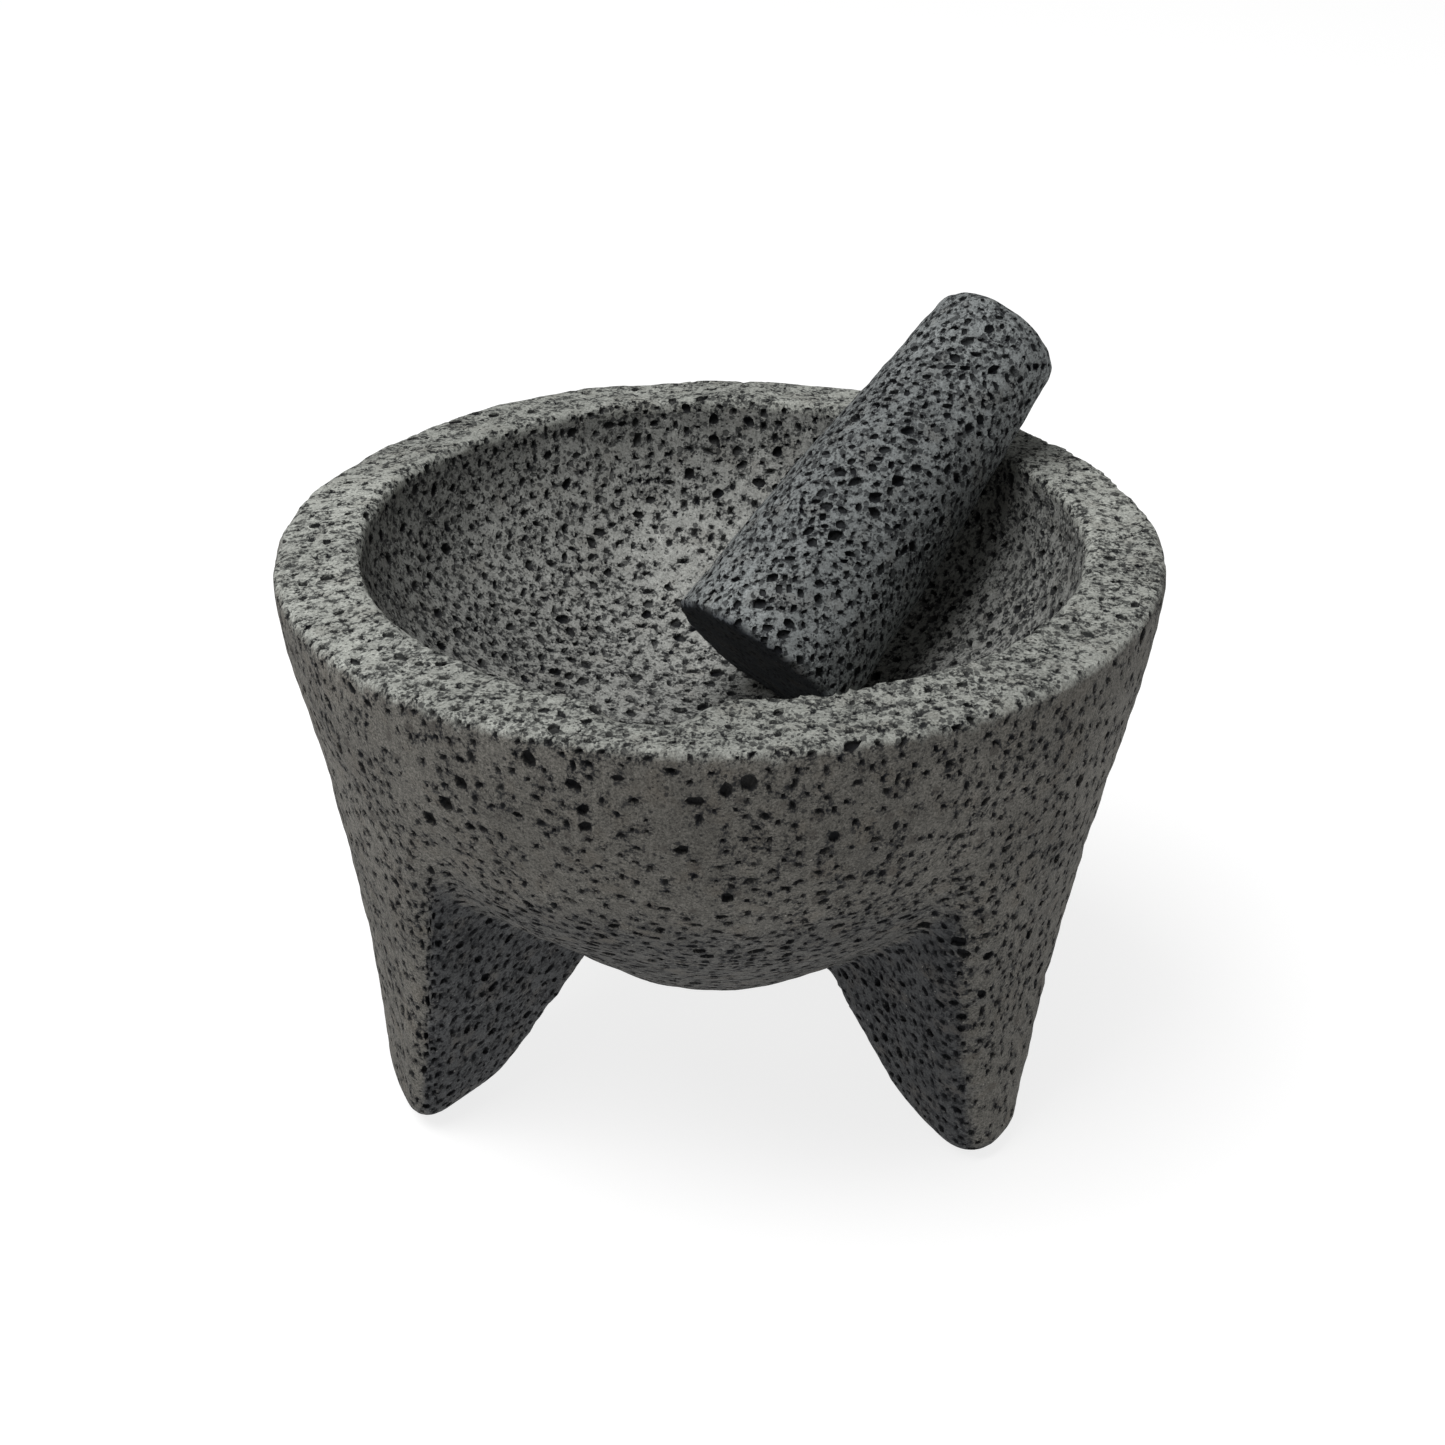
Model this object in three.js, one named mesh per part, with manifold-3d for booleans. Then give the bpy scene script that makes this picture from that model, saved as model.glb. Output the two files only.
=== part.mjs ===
// A molcajete: a three-legged mortar carved from one block of basalt, and its tejolote, the
// tapered stone pestle, which leans in the bowl with its wide end down.
// Millimetres, +Z up. The origin is on the floor, on the axis of the bowl.

import * as THREE from "three";
import { ConvexGeometry } from "three/addons/geometries/ConvexGeometry.js";
import { mergeVertices } from "three/addons/utils/BufferGeometryUtils.js";
import Module from "manifold-3d";

// Outside of the bowl: a wall that flares from the feet up to a short upright band at the rim.
const RIM_RADIUS = 102.5;
const BOWL_HEIGHT = 143;
const RIM_DROP = 1.5; // the outer edge of the rim is lower than the inner edge
const RIM_EDGE_ROUND = 2.5;
const FOOT_RADIUS = 85; // radius of the wall, carried on down to the floor
const WALL_LEAN = 0.015; // slope of the wall at the floor
const WALL_FLARE = 0.00098; // how fast the slope grows, per millimetre

// Belly: the underside between the legs, a cone with a ball for its nose.
const BELLY_BOTTOM = 26;
const BELLY_NOSE = 52;
const BELLY_HALF_ANGLE = THREE.MathUtils.degToRad(49.5);

// Hollow: the lower half of a superellipsoid.
const HOLLOW_RADIUS = 84;
const HOLLOW_DEPTH = 55.5;
const HOLLOW_POWER = 2.1; // 2 is an ellipse, higher is squarer

// Legs: three wedges with the wall as their outer face and an inner ridge.
// Hand carving leaves them a little unlike: girth scales a leg's width, reach sets it outwards.
const LEGS = [
  { azimuth: 90, girth: 1, reach: 0.5 },
  { azimuth: 208, girth: 1.15, reach: 2 },
  { azimuth: 330, girth: 0.82, reach: -1.5 },
];
const LEG_CORNER_ROUND = 6;
const LEG_CORNER_SHARE = 0.8; // or this much of the leg's half width, where that is less
const LEG_RIDGE_ROUND = 4;
const LEG_SECTIONS = [
  { z: 0, ridge: 69.5, outer: 80, halfWidth: 6 }, // flat foot
  { z: 2.5, ridge: 64, outer: 82.5, halfWidth: 9 },
  { z: 9, ridge: 56.5, outer: 84.5, halfWidth: 12 },
  { z: 112, ridge: -20, outer: 93, halfWidth: 47 }, // root, inside the bowl
];

// Pestle: a rounded cone, and the pose in which it leans on the rim.
const PESTLE_LENGTH = 106.5;
const PESTLE_WIDE_RADIUS = 24.3;
const PESTLE_NARROW_RADIUS = 16.6;
const PESTLE_BULGE = 1; // how far its side stands out, halfway along
const PESTLE_WIDE_ROUND = 4;
const PESTLE_NARROW_ROUND = 7;
const PESTLE_DOME = 1.5;
const PESTLE_SEAT = new THREE.Vector3(8.6, 4.6, 106.6); // centre of its wide end
const PESTLE_AZIMUTH = THREE.MathUtils.degToRad(46.7);
const PESTLE_ELEVATION = THREE.MathUtils.degToRad(39.2);

// Fineness of the facets.
const BOWL_SEGMENTS = 64;
const PESTLE_SEGMENTS = 32;
const WALL_STEPS = 7;
const NOSE_STEPS = 4;
const HOLLOW_STEPS = 9;
const PESTLE_STEPS = 4;
const ROUND_STEPS = 3;
const CLEARANCE = 5; // how far the cutting solids reach past what they cut

const wasm = await Module();
wasm.setup();

// Solid from a closed geometry, with only its positions kept and shared corners merged.
function solidOf(geometry) {
  const bare = geometry.clone();
  bare.deleteAttribute("normal");
  bare.deleteAttribute("uv");
  const merged = mergeVertices(bare, 1e-4);
  const mesh = new wasm.Mesh({
    numProp: 3,
    vertProperties: new Float32Array(merged.attributes.position.array),
    triVerts: new Uint32Array(merged.index.array),
  });
  return new wasm.Manifold(mesh);
}

function geometryOf(solid) {
  const { vertProperties, triVerts } = solid.getMesh();
  const geometry = new THREE.BufferGeometry();
  geometry.setAttribute("position", new THREE.BufferAttribute(vertProperties, 3));
  geometry.setIndex(new THREE.BufferAttribute(triVerts, 1));
  geometry.computeVertexNormals();
  return geometry;
}

// Turns a profile of radius and height about the Z axis.
function turned(profile, segments) {
  return new THREE.LatheGeometry(profile, segments).rotateX(Math.PI / 2);
}

// Points of an arc from one angle to another, both ends included.
function arc(x, y, radius, start, end, steps) {
  return Array.from({ length: steps + 1 }, (_, i) => {
    const angle = THREE.MathUtils.lerp(start, end, i / steps);
    return new THREE.Vector2(x + radius * Math.cos(angle), y + radius * Math.sin(angle));
  });
}

function wallRadius(z) {
  return Math.min(RIM_RADIUS, FOOT_RADIUS + WALL_LEAN * z + WALL_FLARE * z * z);
}

// Everything that the carver leaves inside the outer wall and under the rim.
function envelope() {
  const edgeZ = BOWL_HEIGHT - RIM_DROP - RIM_EDGE_ROUND;
  const edgeX = RIM_RADIUS - RIM_EDGE_ROUND;
  const wall = Array.from({ length: WALL_STEPS }, (_, i) => {
    const z = THREE.MathUtils.lerp(0, edgeZ, i / WALL_STEPS);
    return new THREE.Vector2(wallRadius(z), z);
  });
  return turned([
    new THREE.Vector2(0, 0),
    ...wall,
    ...arc(edgeX, edgeZ, RIM_EDGE_ROUND, 0, Math.PI / 2, ROUND_STEPS),
    new THREE.Vector2(HOLLOW_RADIUS, BOWL_HEIGHT),
    new THREE.Vector2(0, BOWL_HEIGHT),
  ], BOWL_SEGMENTS);
}

function belly() {
  const nose = arc(0, BELLY_BOTTOM + BELLY_NOSE, BELLY_NOSE, -Math.PI / 2, -BELLY_HALF_ANGLE, NOSE_STEPS);
  const noseEnd = nose[nose.length - 1];
  const radius = RIM_RADIUS + CLEARANCE;
  const coneEnd = noseEnd.y + (radius - noseEnd.x) / Math.tan(BELLY_HALF_ANGLE);
  return turned([
    ...nose,
    new THREE.Vector2(radius, coneEnd),
    new THREE.Vector2(radius, BOWL_HEIGHT + CLEARANCE),
    new THREE.Vector2(0, BOWL_HEIGHT + CLEARANCE),
  ], BOWL_SEGMENTS);
}

function hollow() {
  const side = Array.from({ length: HOLLOW_STEPS }, (_, i) => {
    const angle = (Math.PI / 2) * ((i + 1) / (HOLLOW_STEPS + 1));
    const across = HOLLOW_RADIUS * Math.sin(angle) ** (2 / HOLLOW_POWER);
    const down = HOLLOW_DEPTH * Math.cos(angle) ** (2 / HOLLOW_POWER);
    return new THREE.Vector2(across, BOWL_HEIGHT - down);
  });
  return turned([
    new THREE.Vector2(0, BOWL_HEIGHT - HOLLOW_DEPTH),
    ...side,
    new THREE.Vector2(HOLLOW_RADIUS, BOWL_HEIGHT),
    new THREE.Vector2(HOLLOW_RADIUS, BOWL_HEIGHT + CLEARANCE),
    new THREE.Vector2(0, BOWL_HEIGHT + CLEARANCE),
  ], BOWL_SEGMENTS);
}

// Rounded triangle in plan, with its ridge towards the axis and its blunt side on the wall.
function legOutline({ z, ridge, outer, halfWidth }, { girth, reach }) {
  const breadth = halfWidth * girth;
  const round = Math.min(LEG_CORNER_ROUND, LEG_CORNER_SHARE * breadth);
  const ridgeX = ridge + reach + LEG_RIDGE_ROUND;
  const cornerX = outer + reach - round;
  const cornerY = breadth - round;
  const wall = wallRadius(z) + reach;
  const spread = Math.asin(cornerY / wall);
  const outline = [
    ...arc(ridgeX, 0, LEG_RIDGE_ROUND, Math.PI / 2, 1.5 * Math.PI, ROUND_STEPS),
    ...arc(cornerX, -cornerY, round, -0.6 * Math.PI, 0, ROUND_STEPS),
    ...(z > 0 ? arc(0, 0, wall, -spread, spread, ROUND_STEPS) : []),
    ...arc(cornerX, cornerY, round, 0, 0.6 * Math.PI, ROUND_STEPS),
  ];
  return outline.map((point) => new THREE.Vector3(point.x, point.y, z));
}

function leg(shape) {
  const corners = LEG_SECTIONS.flatMap((section) => legOutline(section, shape));
  return new ConvexGeometry(corners).rotateZ(THREE.MathUtils.degToRad(shape.azimuth));
}

function bowlGeometry() {
  const stone = LEGS.reduce((block, shape) => block.add(solidOf(leg(shape))), solidOf(belly()));
  return geometryOf(stone.intersect(solidOf(envelope())).subtract(solidOf(hollow())));
}

// Cone with a crisp rim at the wide end, which grinds, and a soft one where the hand holds it.
function pestleGeometry() {
  const narrowZ = PESTLE_LENGTH - PESTLE_NARROW_ROUND;
  const narrowX = PESTLE_NARROW_RADIUS - PESTLE_NARROW_ROUND;
  const wideX = PESTLE_WIDE_RADIUS - PESTLE_WIDE_ROUND;
  const wideZ = PESTLE_DOME + PESTLE_WIDE_ROUND;
  const side = Array.from({ length: PESTLE_STEPS - 1 }, (_, i) => {
    const along = (i + 1) / PESTLE_STEPS;
    const radius = THREE.MathUtils.lerp(PESTLE_WIDE_RADIUS, PESTLE_NARROW_RADIUS, along);
    const bulge = PESTLE_BULGE * Math.sin(Math.PI * along);
    return new THREE.Vector2(radius + bulge, THREE.MathUtils.lerp(wideZ, narrowZ, along));
  });
  return turned([
    new THREE.Vector2(0, 0),
    ...arc(wideX, wideZ, PESTLE_WIDE_ROUND, -Math.PI / 2, 0, ROUND_STEPS),
    ...side,
    ...arc(narrowX, narrowZ, PESTLE_NARROW_ROUND, 0, Math.PI / 2, ROUND_STEPS),
    new THREE.Vector2(0, PESTLE_LENGTH + PESTLE_DOME),
  ], PESTLE_SEGMENTS);
}

function namedMesh(name, geometry, material) {
  const mesh = new THREE.Mesh(geometry, material);
  mesh.name = name;
  return mesh;
}

const bowlStone = new THREE.MeshStandardMaterial({ color: 0x6c6c68, roughness: 0.92, metalness: 0 });
const pestleStone = new THREE.MeshStandardMaterial({ color: 0x5c5f5f, roughness: 0.9, metalness: 0 });

const bowl = namedMesh("bowl", bowlGeometry(), bowlStone);
const pestle = namedMesh("pestle", pestleGeometry(), pestleStone);
pestle.position.copy(PESTLE_SEAT);
pestle.rotation.set(0, Math.PI / 2 - PESTLE_ELEVATION, PESTLE_AZIMUTH, "ZYX");

const molcajete = new THREE.Group();
molcajete.add(bowl, pestle);

export default molcajete;
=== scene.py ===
# %% [markdown]
# # A molcajete in vesicular basalt
# A molcajete is a mortar cut from one block of lava stone, and its tejolote is the tapered hand
# stone that grinds in it. This lesson dresses the two CAD solids with the stone's real skin: a
# slightly uneven, hand-cut surface, thousands of open gas pores, and a sandy grain.
# Everything is in metres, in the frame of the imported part: +Z up, the floor at zero. It could also
# be sculpted by hand, but every step here is a formula, so that it gives the same stone each time.

# %% Load the frame
import math
from collections import namedtuple

import bpy
import numpy as np
from mathutils import Matrix, Vector


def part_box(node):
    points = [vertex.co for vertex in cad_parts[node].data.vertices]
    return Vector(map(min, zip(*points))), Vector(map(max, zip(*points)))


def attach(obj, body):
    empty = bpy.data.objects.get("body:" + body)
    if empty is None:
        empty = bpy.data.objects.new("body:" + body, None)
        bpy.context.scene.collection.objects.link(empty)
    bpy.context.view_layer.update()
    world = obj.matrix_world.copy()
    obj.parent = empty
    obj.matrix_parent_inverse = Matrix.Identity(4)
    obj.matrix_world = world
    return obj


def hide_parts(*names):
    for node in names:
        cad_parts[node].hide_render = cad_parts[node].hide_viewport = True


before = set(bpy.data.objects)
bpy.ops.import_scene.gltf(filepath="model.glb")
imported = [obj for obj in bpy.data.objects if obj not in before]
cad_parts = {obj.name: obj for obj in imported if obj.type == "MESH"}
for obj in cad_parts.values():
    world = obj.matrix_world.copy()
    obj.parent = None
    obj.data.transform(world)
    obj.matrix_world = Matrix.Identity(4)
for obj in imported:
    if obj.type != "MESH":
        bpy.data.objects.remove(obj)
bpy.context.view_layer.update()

MM = 0.001  # one millimetre in metres

# %% [markdown]
# ## Camera
# The mortar is seen from a little over arm's length, looking 28.6 degrees down, from just right of
# the front. The camera stands on a heading of 6 degrees, and is turned about its own line of sight
# by a quarter of a degree. An empty to aim at would do as well, but three plain turns say exactly
# where it looks.

# %% Camera
VIEW_HEADING = math.radians(6)
CAMERA_REACH = 553.9 * MM  # from the bowl's axis, along the floor
CAMERA_HEIGHT = 394.7 * MM
CAMERA_PITCH = math.radians(28.58)
CAMERA_YAW = math.radians(-0.05)
CAMERA_ROLL = math.radians(-0.26)
LENS_MM = 64.8
SENSOR_MM = 36


def place_camera():
    """The camera's matrix is its place, times a turn about Z, a tilt up from straight down about
    X, and a roll about its own line of sight."""
    data = bpy.data.cameras.new("camera")
    data.lens = LENS_MM
    data.sensor_width = SENSOR_MM
    camera = bpy.data.objects.new("camera", data)
    bpy.context.scene.collection.objects.link(camera)
    turn = Matrix.Rotation(VIEW_HEADING + CAMERA_YAW, 4, "Z")
    tilt = Matrix.Rotation(math.pi / 2 - CAMERA_PITCH, 4, "X")
    roll = Matrix.Rotation(CAMERA_ROLL, 4, "Z")
    place = (
        CAMERA_REACH * math.sin(VIEW_HEADING),
        -CAMERA_REACH * math.cos(VIEW_HEADING),
        CAMERA_HEIGHT,
    )
    camera.matrix_world = Matrix.Translation(place) @ turn @ tilt @ roll
    bpy.context.scene.camera = camera
    print("camera at", [round(v, 4) for v in place])


place_camera()

# %% [markdown]
# ## A stone as a field
# The wall of the bowl runs down into the legs with no seam, so no single grid of two parameters
# covers it. A mason thinks of the shape another way: a block, cut back to a wall, a rim, a belly
# and a hollow. The same idea in numbers is a field: a function that is negative inside the stone,
# zero on its skin and positive outside, and close to the distance in between. Cuts and joins are
# the larger or the smaller of two fields, and a rounded maximum gives the worn edges for free.

# %% Rounded maximum and minimum


def smooth_max(a, b, width):
    """The larger of a and b. Where they differ by less than width, a parabola blends them, which
    rounds the edge between two surfaces."""
    share = np.clip(0.5 + 0.5 * (a - b) / width, 0, 1)
    return b + (a - b) * share + width * share * (1 - share)


def smooth_min(a, b, width):
    """The smaller of a and b, blended in the same way."""
    return -smooth_max(-a, -b, width)


print("a blend 4 mm wide cuts an edge back by", smooth_max(0, 0, 4 * MM) / MM, "mm")


# %% [markdown]
# ## Unevenness
# A pick and a rubbing stone leave no true cone or circle: the skin wanders by a few tenths of a
# millimetre. A displacement texture would do that to a finished mesh. A sum of sine waves in the
# field itself does it before the mesh is made, so that the pores sit on the uneven skin.

# %% Unevenness of hand work


def unevenness(points, wavelength, seed, waves=7):
    """Sum of a few sine waves in random directions, scaled to lie within about plus or minus one.
    The directions and phases come from a seeded generator, so that they never change."""
    draws = np.random.default_rng(seed)
    directions = draws.normal(size=(3, waves))
    directions /= np.linalg.norm(directions, axis=0)
    stretch = draws.uniform(0.7, 1.4, waves)
    phases = draws.uniform(0, 2 * np.pi, waves)
    turns = points @ directions * (2 * np.pi / wavelength * stretch) + phases
    return np.sin(turns).sum(axis=1) / math.sqrt(waves)


def hand_work(points, bumps):
    """Adds up unevennesses, each given by its height, wavelength and seed."""
    return sum(height * unevenness(points, wavelength, seed) for height, wavelength, seed in bumps)


# %% [markdown]
# ## The bowl's field
# The mortar is one stone: the wall flares from the feet to the rim, the belly hangs between the
# legs, and the hollow is ground into the top. The sizes follow the CAD model's: the wall's radius
# is a parabola of the height, the belly is a cone with a ball for its nose, the hollow is the lower
# half of a superellipsoid, and each leg is a wedge between two upright planes that meet in a ridge
# on its inner side. Modelled as meshes, these would need booleans and then bevels along edges that
# wander. As fields they need one line for each cut.

# %% Sizes of the bowl
_, BOWL_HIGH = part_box("bowl")
RIM_RADIUS = BOWL_HIGH[0] + 0.6 * MM  # a little wider than the CAD solid
BOWL_HEIGHT = BOWL_HIGH[2]
RIM_TOP = BOWL_HEIGHT + 0.4 * MM  # before its edges are rounded
RIM_DROP = 1.5 * MM  # the outer edge of the rim is lower than the inner edge
WALL_BEND = 4 * MM  # blend of the wall's parabola into the upright band under the rim
WALL_FOOT = 85 * MM
WALL_LEAN = 0.015
WALL_FLARE = 0.98  # per metre
BELLY_BOTTOM = 28.4 * MM
BELLY_NOSE = 64 * MM
BELLY_HALF_ANGLE = math.radians(49.5)
HOLLOW_RADIUS = 84 * MM
HOLLOW_DEPTH = 55.5 * MM
HOLLOW_POWER = 2.1
Leg = namedtuple("Leg", "azimuth girth reach inward edge_round")
LEGS = [  # inward moves a leg's ridge in, and edge_round is the blend along its outer edges
    Leg(azimuth=90, girth=1, reach=0, inward=0, edge_round=10 * MM),
    Leg(azimuth=204.5, girth=1.14, reach=0.5 * MM, inward=2.2 * MM, edge_round=8 * MM),
    Leg(azimuth=330.2, girth=0.8, reach=-1.8 * MM, inward=2 * MM, edge_round=12 * MM),
]
LEG_RIDGE = 64.5 * MM  # where the ridge would meet the floor
LEG_RIDGE_SLOPE = -0.82
LEG_HALF_WIDTH = 9.8 * MM
LEG_WIDTH_SLOPE = 0.28
LEG_OUTER = 79 * MM  # where the half width is measured
LEG_FLANKS = 32  # degrees over which the wall follows a leg's reach
LEG_SHARE = 0.8  # how much of the reach it follows
LEG_TOP = 90 * MM  # height over which that fades
FOOT_TAPER = 9 * MM  # height over which the foot is rounded off
FOOT_RIDGE_CUT = 6.3 * MM  # how far the rounding cuts in at the floor: at the ridge,
FOOT_SIDE_CUT = 3 * MM  # at the sides,
FOOT_WALL_CUT = 4 * MM  # and at the wall
RIDGE_ROUND = 8 * MM
BELLY_ROUND = 20 * MM
FILLET = 4 * MM
SOLE_ROUND = 4 * MM
RIM_ROUND = 2.4 * MM
BOWL_BUMPS = [(0.3 * MM, 60 * MM, 3), (0.14 * MM, 17 * MM, 4), (0.09 * MM, 6 * MM, 7)]
print("bowl:", round(2 * RIM_RADIUS / MM, 1), "mm across,", round(RIM_TOP / MM, 1), "mm tall")

# %% A leg


def foot_taper(z):
    """1 at the floor, falling as a square to 0 at the top of the foot."""
    return np.clip(1 - z / FOOT_TAPER, 0, 1) ** 2


def leg_field(x, y, z, leg):
    """Distance outside a wedge: turn the points so that the leg lies along +x, then take the
    rounded maximum of its two side planes. They meet at a ridge whose place falls, and whose
    spread grows, with height. The rounding cuts the ridge back by a quarter of its blend over the
    sine of the spread, so the planes meet that much further in."""
    angle = math.radians(leg.azimuth)
    along = x * math.cos(angle) + y * math.sin(angle)
    across = y * math.cos(angle) - x * math.sin(angle)
    taper = foot_taper(z)
    ridge = LEG_RIDGE + leg.reach - leg.inward + LEG_RIDGE_SLOPE * z + FOOT_RIDGE_CUT * taper
    half_width = leg.girth * (LEG_HALF_WIDTH + LEG_WIDTH_SLOPE * z - FOOT_SIDE_CUT * taper)
    spread = np.arctan2(half_width, LEG_OUTER + leg.reach - ridge)
    apex = ridge - RIDGE_ROUND / (4 * np.sin(spread))
    behind = (apex - along) * np.sin(spread)
    return smooth_max(
        behind + across * np.cos(spread),
        behind - across * np.cos(spread),
        RIDGE_ROUND,
    )


# %% [markdown]
# ## The lip
# Years of pouring and scraping have worn the hollow's edge. Left of the front a pouring scoop is a
# wide bevel, and right of it the edge stands 3 mm further in and is crisp. A sculpting brush could
# press that in. Here the edge's radius and rounding are functions of the angle, so the worn part
# runs into the rest of the edge without a seam.

# %% The worn lip
LIP_ROUND = 3 * MM
SCOOP_AT, SCOOP_WIDTH = -94, 7  # degrees
SCOOP_OUT, SCOOP_BEVEL = 0.5 * MM, 13 * MM
STEP_AT, STEP_WIDTH = -72, 14  # degrees
STEP_IN, STEP_CRISP = 3 * MM, 1.5 * MM
LIP_WANDER = 0.5 * MM


def plateau(degrees, middle, width):
    """1 round the middle angle, with soft shoulders: the exponential of minus a fourth power."""
    return np.exp(-(((degrees - middle) / width) ** 4))


def lip_shape(x, y):
    """How the hollow's edge differs from a crisp circle: (extra radius, rounding)."""
    degrees = np.degrees(np.arctan2(y, x))
    scoop = plateau(degrees, SCOOP_AT, SCOOP_WIDTH)
    step = plateau(degrees, STEP_AT, STEP_WIDTH)
    wander = np.sin(np.radians(3 * degrees + 40)) + 0.6 * np.sin(np.radians(7 * degrees))
    more = LIP_WANDER * wander - SCOOP_OUT * scoop - STEP_IN * step
    return more, LIP_ROUND + SCOOP_BEVEL * scoop - STEP_CRISP * step


# %% Wall, belly and hollow


def parabola(z):
    """The wall's radius, carried on up past the rim."""
    return WALL_FOOT + (WALL_LEAN + WALL_FLARE * z) * z


def wall_field(x, y, z):
    """Distance outside the wall: the radius less a parabola of the height, cut off at the rim's
    radius, moved a little towards each leg's own reach and rounded off at the foot."""
    wall_radius = smooth_min(parabola(z), RIM_RADIUS, WALL_BEND)
    degrees = np.degrees(np.arctan2(y, x)) % 360
    for leg in LEGS:
        near = np.exp(-(((degrees - leg.azimuth) / LEG_FLANKS) ** 2))
        low = np.clip(1.1 - z / LEG_TOP, 0, 1)
        wall_radius = wall_radius + LEG_SHARE * leg.reach * near * low
    return np.hypot(x, y) - wall_radius + FOOT_WALL_CUT * foot_taper(z)


def belly_field(radius, z):
    """Distance outside a cone whose nose is a ball: from the ball's middle in front of it, and
    square to the cone's side above it."""
    up = z - (BELLY_BOTTOM + BELLY_NOSE)
    sine, cosine = math.sin(BELLY_HALF_ANGLE), math.cos(BELLY_HALF_ANGLE)
    on_cone = radius * sine + up * cosine > 0
    return np.where(on_cone, radius * cosine - up * sine, np.hypot(radius, up)) - BELLY_NOSE


def hollow_field(radius, z, lip):
    """How far a point lies outside the hollow's superellipsoid, measured along the line to its
    middle, which is level with the rim. It is negative within the hollow."""
    below = np.maximum(BOWL_HEIGHT - z, 0)
    reach = np.hypot(radius, below) + 1e-9
    share = (radius / lip) ** HOLLOW_POWER + (below / HOLLOW_DEPTH) ** HOLLOW_POWER
    return reach * (1 - share ** (-1 / HOLLOW_POWER))


# %% The whole bowl


def bowl_field(points):
    """Signed distance, roughly: the belly and legs joined, cut back to the wall and the rim, and
    hollowed, each with a rounded maximum or minimum."""
    x, y, z = points.T
    radius = np.hypot(x, y)
    wall = wall_field(x, y, z)
    stone = smooth_max(belly_field(radius, z), wall, BELLY_ROUND)
    for leg in LEGS:
        wedge = smooth_max(leg_field(x, y, z, leg), wall, leg.edge_round)
        stone = smooth_min(stone, smooth_max(wedge, -z, SOLE_ROUND), FILLET)
    stone = np.maximum(stone, wall)

    more, lip_round = lip_shape(x, y)
    lip = HOLLOW_RADIUS + more
    outward = np.clip((radius - lip) / (RIM_RADIUS - lip), 0, 1)
    stone = smooth_max(stone, z - (RIM_TOP - RIM_DROP * outward), RIM_ROUND)
    stone = smooth_max(stone, -hollow_field(radius, z, lip), lip_round)
    return stone + hand_work(points, BOWL_BUMPS) * np.clip(z / (12 * MM), 0, 1)


on_axis = np.array([[0, 0, BOWL_HEIGHT - HOLLOW_DEPTH / 2], [0, 0, BOWL_HEIGHT - 70 * MM]])
print("field in the hollow and in the stone, mm:", (bowl_field(on_axis) / MM).round(1))

# %% [markdown]
# ## The pestle's field
# The tejolote is a cone with a slightly swollen side, a crisp wide end that grinds and a soft
# narrow end for the hand. A lathe would turn it from a profile, but the net of a lathe crowds
# towards the ends, and pores need even faces. Its axis is a line that leans on the rim: the field
# needs only how far along that line a point lies, and how far from it.

# %% Sizes of the pestle
PESTLE_SEAT = np.array([8.6, 4.6, 106.6]) * MM
PESTLE_AZIMUTH = math.radians(46.7)
PESTLE_ELEVATION = math.radians(39.2)
PESTLE_LENGTH = 105.4 * MM
PESTLE_WIDE = 24 * MM
PESTLE_NARROW = 16.2 * MM
PESTLE_BULGE = 0.6 * MM
PESTLE_DOME = 0.3 * MM
WIDE_ROUND = 1.8 * MM
NARROW_ROUND = 7 * MM
PESTLE_AXIS = np.array([
    math.cos(PESTLE_ELEVATION) * math.cos(PESTLE_AZIMUTH),
    math.cos(PESTLE_ELEVATION) * math.sin(PESTLE_AZIMUTH),
    math.sin(PESTLE_ELEVATION),
])
PESTLE_BUMPS = [(0.25 * MM, 45 * MM, 5), (0.14 * MM, 13 * MM, 6), (0.1 * MM, 5 * MM, 7)]
print("pestle:", round(PESTLE_LENGTH / MM, 1), "mm long, leaning along", PESTLE_AXIS.round(3))


def pestle_field(points):
    """Distance from the axis less the radius there, cut by two slightly domed ends."""
    offset = points - PESTLE_SEAT
    along = offset @ PESTLE_AXIS
    away = np.linalg.norm(offset - along[:, None] * PESTLE_AXIS, axis=1)
    share = np.clip(along / PESTLE_LENGTH, 0, 1)
    radius = PESTLE_WIDE + (PESTLE_NARROW - PESTLE_WIDE) * share
    side = away - radius - PESTLE_BULGE * np.sin(np.pi * share)
    wide_end = PESTLE_DOME * (away / PESTLE_WIDE) ** 2 - along
    narrow_end = along - PESTLE_LENGTH - PESTLE_DOME + PESTLE_DOME * (away / PESTLE_NARROW) ** 2
    stone = smooth_max(smooth_max(side, wide_end, WIDE_ROUND), narrow_end, NARROW_ROUND)
    return stone + hand_work(points, PESTLE_BUMPS)


# %% [markdown]
# ## From the rough block to the skin
# The CAD solid is the rough block. A voxel remesh of a copy of it gives an even net of four-sided
# faces. Each corner of the net then slides down the field's slope until the field is zero, which
# is Newton's method on every point at once. Between slides the net is relaxed: each point moves
# towards the middle of its neighbours, so that the faces stay even. Subdividing the CAD's mesh
# would be shorter, but would keep its long thin triangles, in which no round pore can be opened.

# %% Rough block


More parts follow.
